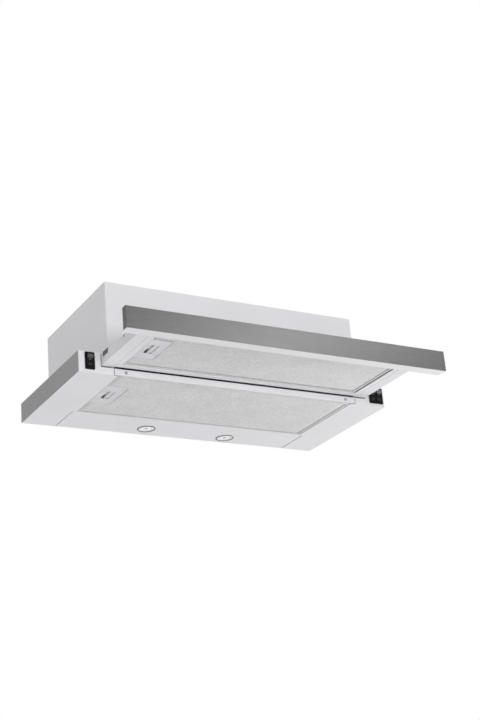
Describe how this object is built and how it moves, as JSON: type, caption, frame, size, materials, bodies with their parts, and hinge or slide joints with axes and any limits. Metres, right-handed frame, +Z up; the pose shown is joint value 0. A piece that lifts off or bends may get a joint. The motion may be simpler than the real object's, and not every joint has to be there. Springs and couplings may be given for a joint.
{
  "type": "telescopic cooker hood",
  "caption": "Slide-out built-in cooker hood: white sheet-steel housing, pull-out drawer with brushed front panel, metal mesh filters, lamps, rocker switches and a top duct spigot.",
  "frame": {"origin": "middle of the underside of the whole hood with its drawer pulled out", "axes": "+X to the right seen from the front, +Y back to the wall, +Z up to the duct"},
  "size_m": [0.598, 0.446, 0.198],
  "materials": {
    "white_paint": "satin powder coat",
    "trim_grey": "satin grey paint",
    "brushed_panel": "brushed along its length",
    "screw_steel": "zinc plated",
    "spring_steel": "plain wire",
    "chrome_ring": "polished",
    "lens_glass": "clear, frosted inside",
    "led_housing": "satin",
    "filter_aluminium": "satin rolled edge",
    "mesh_aluminium": "expanded metal layers",
    "latch_grey": "fine texture",
    "nylon": "natural nylon",
    "black_plastic": "fine texture",
    "key_plastic": "gloss black",
    "duct_plastic": "moulded grey",
    "impeller_plastic": "moulded dark grey",
    "motor_metal": "cast",
    "capacitor_shell": "moulded white"
  },
  "bodies": {
    "base": {"housing_front": "white_paint", "housing_top": "white_paint", "housing_left_side": "white_paint", "housing_right_side": "white_paint", "rear_panel": "white_paint", "rear_screws": "screw_steel", "left_arm": "white_paint", "right_arm": "white_paint", "left_side_trim": "trim_grey", "right_side_trim": "trim_grey", "left_end_cap": "white_paint", "right_end_cap": "white_paint", "front_crossbar": "white_paint", "crossbar_screws": "screw_steel", "lamp_panel": "white_paint", "left_lamp_bezel": "chrome_ring", "right_lamp_bezel": "chrome_ring", "lamp_lenses": "lens_glass", "lamp_modules": "led_housing", "lower_filter_frame": "filter_aluminium", "lower_filter_mesh": "mesh_aluminium", "lower_filter_latch_plate": "latch_grey", "lower_filter_latch_springs": "spring_steel", "front_glides": "black_plastic", "light_switch_body": "black_plastic", "switch_pins": "screw_steel", "fan_switch_body": "black_plastic", "outlet_spigot": "duct_plastic", "damper_rod": "screw_steel", "blower_left_casing": "duct_plastic", "blower_right_casing": "duct_plastic", "motor": "motor_metal", "motor_bracket": "screw_steel", "capacitor": "capacitor_shell", "terminal_box": "duct_plastic", "terminal_box_lid": "duct_plastic", "cable_gland": "black_plastic", "lamp_driver": "capacitor_shell"},
    "drawer": {"front_panel": "brushed_panel", "front_beam": "white_paint", "drawer_left_rail": "white_paint", "drawer_right_rail": "white_paint", "drawer_rear_bar": "white_paint", "drawer_cover": "white_paint", "rail_screws": "screw_steel", "rail_stops": "black_plastic", "rail_rear_shoes": "nylon", "upper_filter_frame": "filter_aluminium", "upper_filter_mesh": "mesh_aluminium", "upper_filter_latch_plate": "latch_grey", "upper_filter_latch_springs": "spring_steel"},
    "lower_latch": {"lower_filter_latch_slider": "latch_grey"},
    "upper_latch": {"upper_filter_latch_slider": "latch_grey"},
    "light_key": {"light_rocker": "key_plastic"},
    "fan_power_key": {"fan_power_rocker": "key_plastic"},
    "fan_speed_key": {"fan_speed_rocker": "key_plastic"},
    "fan_rotor": {"impeller": "impeller_plastic", "motor_shaft": "screw_steel"},
    "front_damper": {"damper_front_flap": "impeller_plastic"},
    "rear_damper": {"damper_rear_flap": "impeller_plastic"}
  },
  "joints": [
    {"name": "drawer_slide", "type": "slide", "parent": "base", "child": "drawer", "axis": [0, -1, 0], "range_m": [-0.164, 0]},
    {"name": "lower_latch_slide", "type": "slide", "parent": "base", "child": "lower_latch", "axis": [1, 0, 0], "range_m": [0, 0.0055], "stiffness_N_per_m": 300, "springref_m": -0.003, "deforming": ["lower_filter_latch_springs"]},
    {"name": "upper_latch_slide", "type": "slide", "parent": "drawer", "child": "upper_latch", "axis": [1, 0, 0], "range_m": [0, 0.0055], "stiffness_N_per_m": 300, "springref_m": -0.003, "deforming": ["upper_filter_latch_springs"]},
    {"name": "light_rocker_tilt", "type": "hinge", "parent": "base", "child": "light_key", "pos_m": [-0.2785, -0.0365, 0.02], "axis": [1, 0, 0], "range_deg": [-16, 0]},
    {"name": "fan_power_rocker_tilt", "type": "hinge", "parent": "base", "child": "fan_power_key", "pos_m": [0.27525, -0.0365, 0.02], "axis": [1, 0, 0], "range_deg": [-16, 0]},
    {"name": "fan_speed_rocker_tilt", "type": "hinge", "parent": "base", "child": "fan_speed_key", "pos_m": [0.28775, -0.0365, 0.02], "axis": [1, 0, 0], "range_deg": [-16, 0]},
    {"name": "fan_spin", "type": "hinge", "parent": "base", "child": "fan_rotor", "pos_m": [0, 0.108, 0.097], "axis": [1, 0, 0], "continuous": true},
    {"name": "front_damper_swing", "type": "hinge", "parent": "base", "child": "front_damper", "pos_m": [0, 0.1, 0.174], "axis": [-1, 0, 0], "range_deg": [0, 75]},
    {"name": "rear_damper_swing", "type": "hinge", "parent": "base", "child": "rear_damper", "pos_m": [0, 0.1, 0.174], "axis": [1, 0, 0], "range_deg": [0, 75]}
  ]
}
